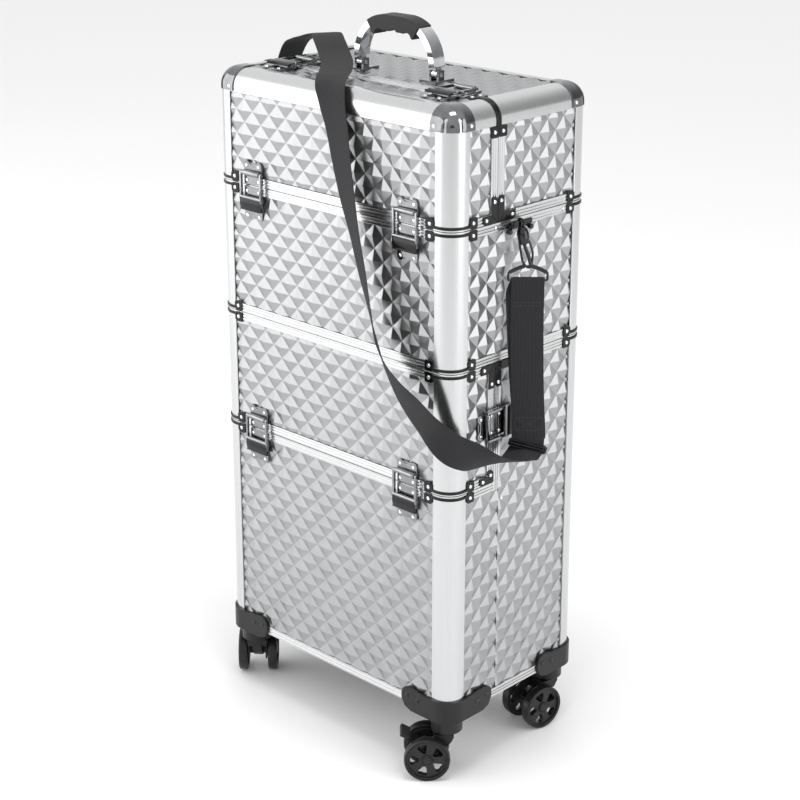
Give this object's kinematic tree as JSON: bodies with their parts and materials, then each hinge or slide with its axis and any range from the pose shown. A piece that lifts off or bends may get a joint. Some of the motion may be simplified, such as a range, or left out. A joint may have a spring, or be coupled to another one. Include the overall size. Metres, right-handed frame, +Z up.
{
  "type": "rolling hairdressing case",
  "caption": "Wheeled aluminium hairdressing case with a lift-off top case, removable front covers, draw latches, a shoulder strap and swivel casters.",
  "frame": {"origin": "centre of the object's base on the floor, under the wheels", "axes": "+X to the right seen from the front, -Y the front with the latches, +Z up"},
  "size_m": [0.4696, 0.3047, 0.891],
  "materials": {
    "aluminium_board": "satin embossed",
    "aluminium_profile": "satin extruded",
    "inner_board": "matt",
    "black_fitting": "gloss black",
    "black_plastic": "satin",
    "chrome_fitting": "polished",
    "rivet_steel": "polished",
    "steel_tube": "polished",
    "grip_rubber": "matt",
    "wheel_plastic": "satin",
    "webbing": "woven"
  },
  "bodies": {
    "lower_case": {"lower_panels": "aluminium_board", "lower_boards": "inner_board", "lower_frame": "aluminium_profile", "lower_connectors": "black_fitting", "lower_rivets": "rivet_steel", "guard_front_left": "black_plastic", "guard_front_right": "black_plastic", "guard_rear_left": "black_plastic", "guard_rear_right": "black_plastic", "lower_catch_plates": "chrome_fitting", "handle_sleeves": "black_plastic"},
    "lower_cover": {"lower_cover_panels": "aluminium_board", "lower_cover_frame": "aluminium_profile", "lower_cover_connectors": "black_fitting", "lower_latch_plates": "chrome_fitting"},
    "lower_lever_left": {"lower_latch_left": "chrome_fitting"},
    "lower_lever_right": {"lower_latch_right": "chrome_fitting"},
    "side_lever_left": {"side_latch_left": "chrome_fitting"},
    "side_lever_right": {"side_latch_right": "chrome_fitting"},
    "upper_case": {"upper_panels": "aluminium_board", "upper_floor": "inner_board", "upper_frame": "aluminium_profile", "upper_connectors": "black_fitting", "upper_rivets": "rivet_steel", "upper_catch_plates": "chrome_fitting", "strap_eyes": "chrome_fitting", "lid_hinge_case": "chrome_fitting", "strap_webbing": "webbing", "strap_hardware": "chrome_fitting"},
    "upper_cover": {"upper_cover_panels": "aluminium_board", "upper_cover_frame": "aluminium_profile", "upper_cover_connectors": "black_fitting", "cover_ball_caps": "chrome_fitting", "upper_latch_plates": "chrome_fitting"},
    "upper_lever_left": {"upper_latch_left": "chrome_fitting"},
    "upper_lever_right": {"upper_latch_right": "chrome_fitting"},
    "rear_lid": {"lid_panels": "aluminium_board", "lid_frame": "aluminium_profile", "lid_connectors": "black_fitting", "lid_ball_caps": "chrome_fitting", "lid_hinge_lid": "chrome_fitting", "lid_clasp_plates": "chrome_fitting", "handle_feet": "chrome_fitting"},
    "clasp_left": {"top_clasp_left": "chrome_fitting"},
    "clasp_right": {"top_clasp_right": "chrome_fitting"},
    "carry_handle": {"carry_handle_bow": "chrome_fitting", "carry_handle_grip": "grip_rubber"},
    "pull_mid": {"pull_handle_mid": "steel_tube"},
    "pull_grip": {"pull_handle_grip": "black_plastic"},
    "pull_button": {"pull_handle_button": "black_plastic"},
    "caster_front_left": {"caster_fork_front_left": "black_plastic"},
    "caster_front_right": {"caster_fork_front_right": "black_plastic"},
    "caster_rear_left": {"caster_fork_rear_left": "black_plastic"},
    "caster_rear_right": {"caster_fork_rear_right": "black_plastic"},
    "twin_front_left": {"wheels_front_left": "wheel_plastic"},
    "twin_front_right": {"wheels_front_right": "wheel_plastic"},
    "twin_rear_left": {"wheels_rear_left": "wheel_plastic"},
    "twin_rear_right": {"wheels_rear_right": "wheel_plastic"},
    "pedal_left": {"brake_pedal_left": "black_plastic"},
    "pedal_right": {"brake_pedal_right": "black_plastic"}
  },
  "joints": [
    {"name": "upper_case_lift", "type": "slide", "parent": "lower_case", "child": "upper_case", "axis": [0, 0, 1], "range_m": [0, 0.25]},
    {"name": "lower_cover_pull", "type": "slide", "parent": "lower_case", "child": "lower_cover", "axis": [0, -1, 0], "range_m": [0, 0.16], "deforming": ["strap_webbing"]},
    {"name": "lower_latch_left_turn", "type": "hinge", "parent": "lower_cover", "child": "lower_lever_left", "pos_m": [-0.1305, -0.1169, 0.388], "axis": [-1, 0, 0], "range_deg": [0, 80]},
    {"name": "lower_latch_right_turn", "type": "hinge", "parent": "lower_cover", "child": "lower_lever_right", "pos_m": [0.1255, -0.1169, 0.388], "axis": [-1, 0, 0], "range_deg": [0, 80]},
    {"name": "side_latch_left_turn", "type": "hinge", "parent": "lower_cover", "child": "side_lever_left", "pos_m": [-0.2024, -0.054, 0.446], "axis": [0, 0, 1], "range_deg": [0, 80]},
    {"name": "side_latch_right_turn", "type": "hinge", "parent": "lower_cover", "child": "side_lever_right", "pos_m": [0.1974, -0.054, 0.446], "axis": [0, 0, -1], "range_deg": [0, 80], "deforming": ["strap_webbing"]},
    {"name": "upper_cover_pull", "type": "slide", "parent": "upper_case", "child": "upper_cover", "axis": [0, -1, 0], "range_m": [0, 0.16], "deforming": ["strap_webbing"]},
    {"name": "upper_latch_left_turn", "type": "hinge", "parent": "upper_cover", "child": "upper_lever_left", "pos_m": [-0.1305, -0.1169, 0.701], "axis": [-1, 0, 0], "range_deg": [0, 80]},
    {"name": "upper_latch_right_turn", "type": "hinge", "parent": "upper_cover", "child": "upper_lever_right", "pos_m": [0.1255, -0.1169, 0.701], "axis": [-1, 0, 0], "range_deg": [0, 80]},
    {"name": "lid_turn", "type": "hinge", "parent": "upper_case", "child": "rear_lid", "pos_m": [-0.0025, 0.1273, 0.685], "axis": [1, 0, 0], "range_deg": [-95, 0], "deforming": ["strap_webbing"]},
    {"name": "clasp_left_turn", "type": "hinge", "parent": "rear_lid", "child": "clasp_left", "pos_m": [-0.1325, -0.022, 0.8269], "axis": [-1, 0, 0], "range_deg": [0, 80]},
    {"name": "clasp_right_turn", "type": "hinge", "parent": "rear_lid", "child": "clasp_right", "pos_m": [0.1275, -0.022, 0.8269], "axis": [-1, 0, 0], "range_deg": [0, 80]},
    {"name": "carry_handle_turn", "type": "hinge", "parent": "rear_lid", "child": "carry_handle", "pos_m": [-0.0025, 0.006, 0.829], "axis": [1, 0, 0], "range_deg": [-60, 0]},
    {"name": "pull_mid_slide", "type": "slide", "parent": "lower_case", "child": "pull_mid", "axis": [0, 0, 1], "range_m": [0, 0.3]},
    {"name": "pull_grip_slide", "type": "slide", "parent": "pull_mid", "child": "pull_grip", "axis": [0, 0, 1], "range_m": [0, 0.28]},
    {"name": "pull_button_press", "type": "slide", "parent": "pull_grip", "child": "pull_button", "axis": [0, 0, -1], "range_m": [0, 0.003], "stiffness_N_per_m": 300},
    {"name": "caster_front_left_swivel", "type": "hinge", "parent": "lower_case", "child": "caster_front_left", "pos_m": [-0.1735, -0.088, 0.072], "axis": [0, 0, 1], "continuous": true},
    {"name": "wheels_front_left_roll", "type": "hinge", "parent": "caster_front_left", "child": "twin_front_left", "pos_m": [-0.19017, -0.07074, 0.028], "axis": [-0.7193, -0.6947, 0], "continuous": true},
    {"name": "pedal_left_press", "type": "hinge", "parent": "caster_front_left", "child": "pedal_left", "pos_m": [-0.19712, -0.06354, 0.042], "axis": [-0.7193, -0.6947, 0], "range_deg": [0, 12]},
    {"name": "caster_front_right_swivel", "type": "hinge", "parent": "lower_case", "child": "caster_front_right", "pos_m": [0.1685, -0.088, 0.072], "axis": [0, 0, 1], "continuous": true},
    {"name": "wheels_front_right_roll", "type": "hinge", "parent": "caster_front_right", "child": "twin_front_right", "pos_m": [0.15124, -0.10467, 0.028], "axis": [0.6947, -0.7193, 0], "continuous": true},
    {"name": "pedal_right_press", "type": "hinge", "parent": "caster_front_right", "child": "pedal_right", "pos_m": [0.14404, -0.11162, 0.042], "axis": [0.6947, -0.7193, 0], "range_deg": [0, 12]},
    {"name": "caster_rear_left_swivel", "type": "hinge", "parent": "lower_case", "child": "caster_rear_left", "pos_m": [-0.1735, 0.1, 0.072], "axis": [0, 0, 1], "continuous": true},
    {"name": "wheels_rear_left_roll", "type": "hinge", "parent": "caster_rear_left", "child": "twin_rear_left", "pos_m": [-0.19605, 0.09179, 0.028], "axis": [0.342, -0.9397, 0], "continuous": true},
    {"name": "caster_rear_right_swivel", "type": "hinge", "parent": "lower_case", "child": "caster_rear_right", "pos_m": [0.1685, 0.1, 0.072], "axis": [0, 0, 1], "continuous": true},
    {"name": "wheels_rear_right_roll", "type": "hinge", "parent": "caster_rear_right", "child": "twin_rear_right", "pos_m": [0.16433, 0.07636, 0.028], "axis": [0.9848, -0.1736, 0], "continuous": true}
  ]
}
